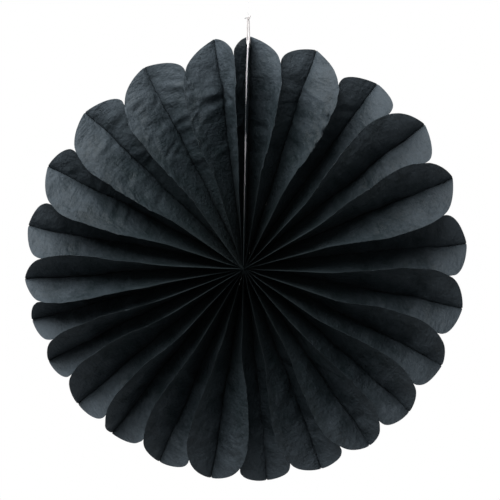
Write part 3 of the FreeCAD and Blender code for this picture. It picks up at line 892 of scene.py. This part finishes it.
def make_facing(name, side, material):
    """Tissue glued over a card's outer face; its front strip curls in over the card's edge."""
    across = ACROSS[:, None]
    end = np.minimum(cut_end(across, CARD_END, CARD_BACK_ROUND), CARD_END - BARE_TOP)
    radius = CARD_START + SHARES[None, :] * (end - CARD_START)
    setback = np.maximum(CARD_SETBACK * (1 - radius / CARD_TAPER), 0.0)
    sway = Wave(9100, 0.045)
    outer = CARD_FACE + LEAF_THICK
    lip = np.minimum(lip_gap(radius, sway), outer)
    inset = across - card_front(radius)
    away = smooth(inset / np.maximum(setback, LIP_LEAST_CURL))
    proud = np.maximum(LIP_PROUD - setback, LIP_LEAST_PROUD)
    bubbles = Crinkles(
        9200 + side,
        count=60,
        across=(0.004, LEAF_WIDTH),
        radius=(0.03, 0.19),
        length=(0.003, 0.01),
        width=(0.001, 0.003),
        height=(0, 0.00012),
        tilt=60,
    )
    x = lip + (outer - lip) * away + np.abs(bubbles(across, radius)) * away
    y = across - LEAF_WIDTH / 2 - proud * (1 - smooth(inset / LIP_FADE))
    faces = []
    for shift in (-LEAF_THICK / 2, LEAF_THICK / 2):
        faces.append(np.stack([side * (x + side * shift), y, radius], axis=-1))
    mesh = sheet_mesh("tissue_" + name, faces, across, radius, PATTERN_FACINGS + side)
    add_piece(mesh, material, "tissue", name)


# ---------------------------------------------------------------- build

tissue = tissue_material()
ridges, creases = make_folds()
for number in range(1, len(LEAF_OPENINGS) + 1):
    make_leaf(number, tissue)

card = paper_material("white_card", (0.90, 0.88, 0.91, 1), (0.70, 0.66, 0.68, 1), 0.5)
tape = paper_material("joining_tape", (0.70, 0.68, 0.60, 1), (0.55, 0.52, 0.45, 1), 0.3)
thread = thread_material()
cotton = cotton_material()
clear = line_material()
make_facing("facing_left", -1, tissue)
make_facing("facing_right", 1, tissue)
make_thread(thread)
make_loop(cotton)
make_line(clear, make_bead_material())
# the cards and the tape between them are shown as the CAD model has them
flat_nodes = {"end_card_left": card, "end_card_right": card, "joining_tape": tape}
for node, material in flat_nodes.items():
    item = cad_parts[node]
    item.data.materials.clear()
    item.data.materials.append(material)

# ---------------------------------------------------------------- floor, light and camera


def make_floor():
    """A pale round floor below the fan that fades into the white surroundings."""
    below = (0, 0, hub[2] - FLOOR_DROP)
    bpy.ops.mesh.primitive_circle_add(
        vertices=96, radius=FLOOR_RADIUS, fill_type="NGON", location=below
    )
    floor = bpy.context.object
    floor.name = "floor"
    n = Nodes(bpy.data.materials.new("pale_floor"))
    material = n.finish(
        Base_Color=(0.86, 0.86, 0.86, 1),
        Roughness=0.85,
        Specular_IOR_Level=0.1,
    )
    away = n.add("VectorMath", {0: n.place()}, operation="LENGTH").outputs["Value"]
    ends = {"Value": away, "From Min": 0.9, "From Max": 2.4}
    fade = n.add("MapRange", ends, interpolation_type="SMOOTHSTEP").outputs["Result"]
    pale = n.tree.nodes["Principled BSDF"]
    white = n.add("Emission", {"Color": (1, 1, 1, 1), "Strength": 1.0})
    shaders = {0: n.times(n.seen(), fade), 1: pale.outputs[0], 2: white.outputs[0]}
    mixed = n.add("MixShader", shaders)
    n.give(n.tree.nodes["Material Output"].inputs["Surface"], mixed.outputs[0])
    floor.data.materials.append(material)


def make_world(strength):
    """White to the eye and in reflections; a soft plain fill on the object."""
    world = bpy.data.worlds.new("surroundings")
    bpy.context.scene.world = world
    n = Nodes(world)
    back = n.tree.nodes["Background"]
    n.give(back.inputs["Color"], (1, 1, 1, 1))
    n.give(back.inputs["Strength"], n.remap(n.seen(), 0.0, 1.0, strength, 1.0))


def make_lamp(name, offset, size, power):
    """A soft rectangular lamp at an offset from the hub, turned to face it."""
    place = Vector(hub + np.array(offset))
    lamp = bpy.data.lights.new(name, "AREA")
    lamp.shape = "RECTANGLE"
    lamp.size, lamp.size_y = size
    lamp.energy = power
    item = bpy.data.objects.new(name, lamp)
    bpy.context.scene.collection.objects.link(item)
    item.location = place
    item.rotation_euler = (Vector(hub) - place).to_track_quat("-Z", "Y").to_euler()


def make_camera():
    """A little right of the fan's axis and above it, looking at a point just above the hub."""
    level = math.cos(CAMERA_RISE)
    x, y = math.sin(CAMERA_TURN) * level, -math.cos(CAMERA_TURN) * level
    towards = Vector((x, y, math.sin(CAMERA_RISE)))
    centre = Vector(hub) + Vector((0, RIDGE_PLANE, 0))
    data = bpy.data.cameras.new("camera")
    data.sensor_width = 36.0
    data.lens = LENS
    data.clip_start = 0.05
    camera = bpy.data.objects.new("camera", data)
    bpy.context.scene.collection.objects.link(camera)
    camera.location = centre + towards * CAMERA_DISTANCE
    right = Vector((0, 0, 1)).cross(towards).normalized()
    above = towards.cross(right)
    aim = centre + right * AIM_RIGHT + above * AIM_UP
    camera.rotation_euler = (aim - camera.location).to_track_quat("-Z", "Y").to_euler()
    bpy.context.scene.camera = camera


make_floor()
make_world(FILL_STRENGTH)
for lamp in LAMPS:
    make_lamp(*lamp)
make_camera()
bpy.context.scene.view_settings.view_transform = "Standard"
